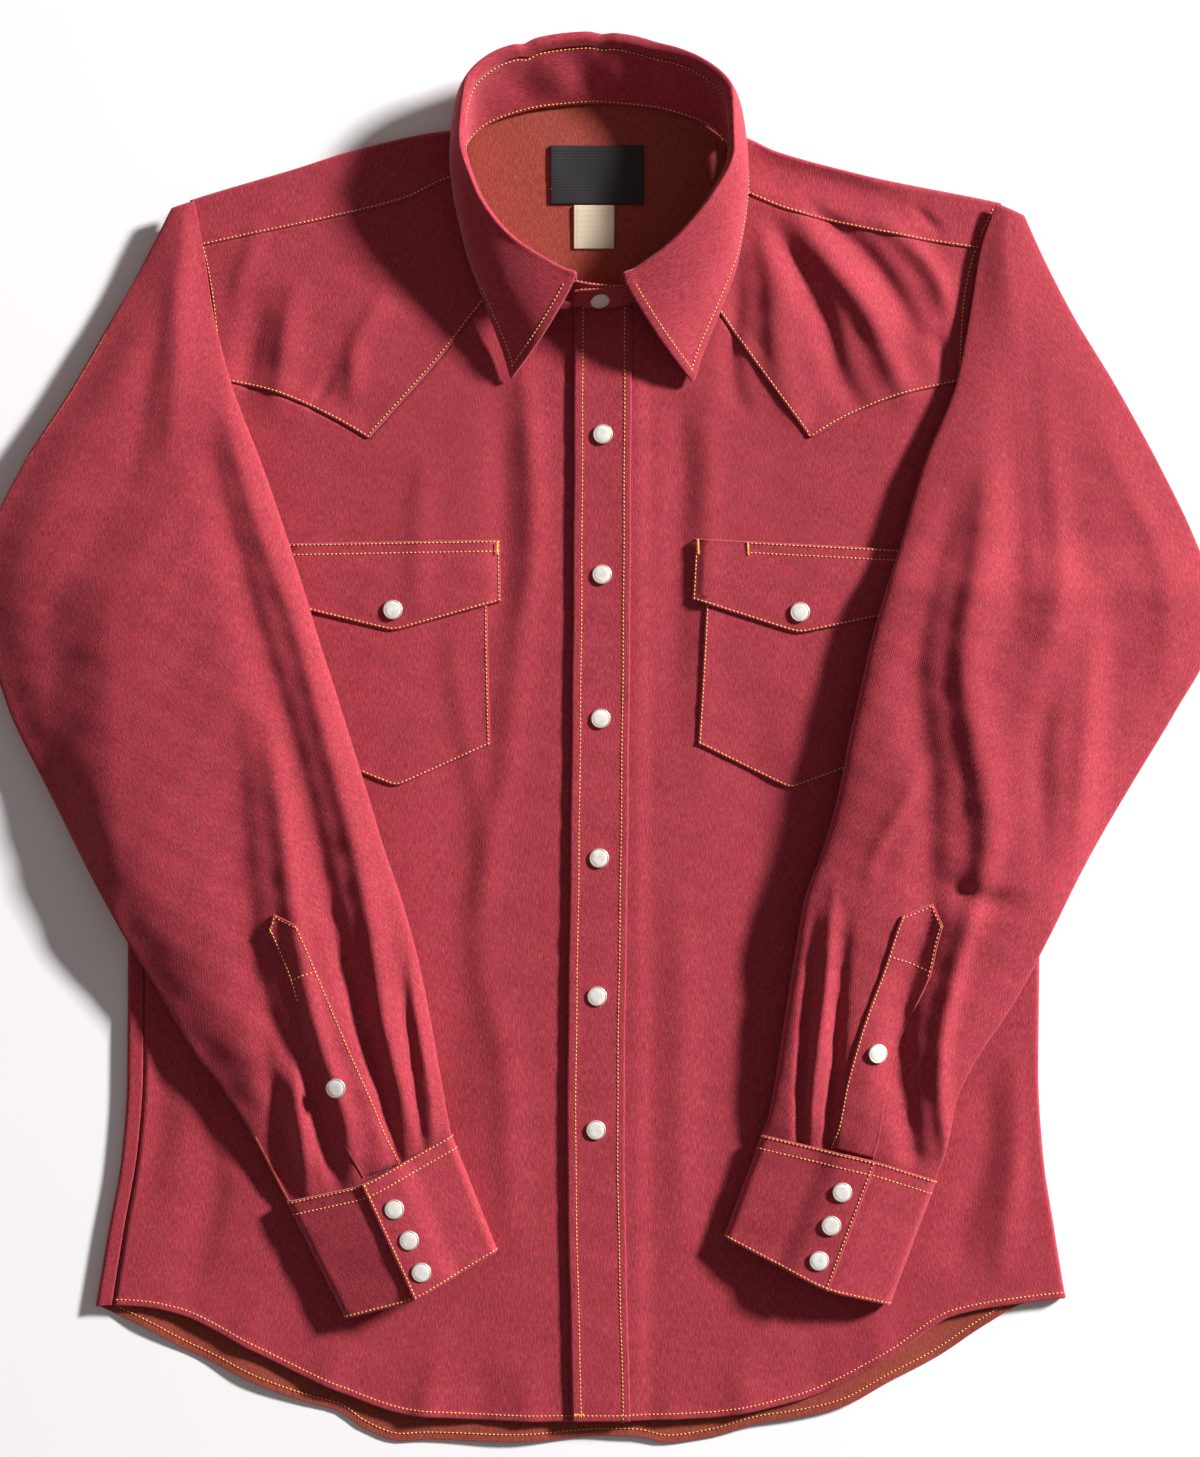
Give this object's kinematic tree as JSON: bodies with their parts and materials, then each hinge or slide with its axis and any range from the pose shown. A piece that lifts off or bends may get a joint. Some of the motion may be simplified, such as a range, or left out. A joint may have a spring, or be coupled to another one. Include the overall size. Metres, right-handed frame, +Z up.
{
  "type": "western snap shirt",
  "caption": "Long-sleeved western shirt laid flat, buttoned, both sleeves folded over the front, with pointed yokes, flap pockets and pearl snaps.",
  "frame": {"origin": "under the middle of the shirt's box, on the surface it lies on", "axes": "+Z up from the surface, +Y from hem to collar, -X towards the wearer's right side"},
  "size_m": [0.7484, 0.8528, 0.0383],
  "materials": {
    "front_twill": "matt twill, burgundy warp",
    "back_twill": "matt twill, golden weft on the reverse",
    "sleeve_twill": "matt twill, burgundy warp",
    "trim_twill": "matt twill, topstitched in golden thread",
    "pearl": "pearl with a thin metal rim",
    "label_weave": "woven satin",
    "tab_weave": "woven taffeta"
  },
  "bodies": {
    "root": {"back_panel": "back_twill", "back_yoke": "back_twill", "front_right": "front_twill", "front_left": "front_twill", "front_yoke_right": "front_twill", "front_yoke_left": "front_twill", "front_placket": "trim_twill", "pocket_right": "trim_twill", "pocket_left": "trim_twill", "pocket_flap_right": "trim_twill", "pocket_flap_left": "trim_twill", "collar_stand": "trim_twill", "collar_fall": "trim_twill", "sleeve_right": "sleeve_twill", "sleeve_left": "sleeve_twill", "sleeve_fold_right": "sleeve_twill", "sleeve_fold_left": "sleeve_twill", "sleeve_placket_right": "trim_twill", "sleeve_placket_left": "trim_twill", "cuff_right": "trim_twill", "cuff_left": "trim_twill", "snap_front_1": "pearl", "snap_front_2": "pearl", "snap_front_3": "pearl", "snap_front_4": "pearl", "snap_front_5": "pearl", "snap_front_6": "pearl", "snap_collar": "pearl", "snap_pocket_right": "pearl", "snap_pocket_left": "pearl", "snap_sleeve_right": "pearl", "snap_sleeve_left": "pearl", "snap_cuff_right_1": "pearl", "snap_cuff_right_2": "pearl", "snap_cuff_right_3": "pearl", "snap_cuff_left_1": "pearl", "snap_cuff_left_2": "pearl", "snap_cuff_left_3": "pearl", "neck_label": "label_weave", "size_tab": "tab_weave"}
  },
  "joints": []
}
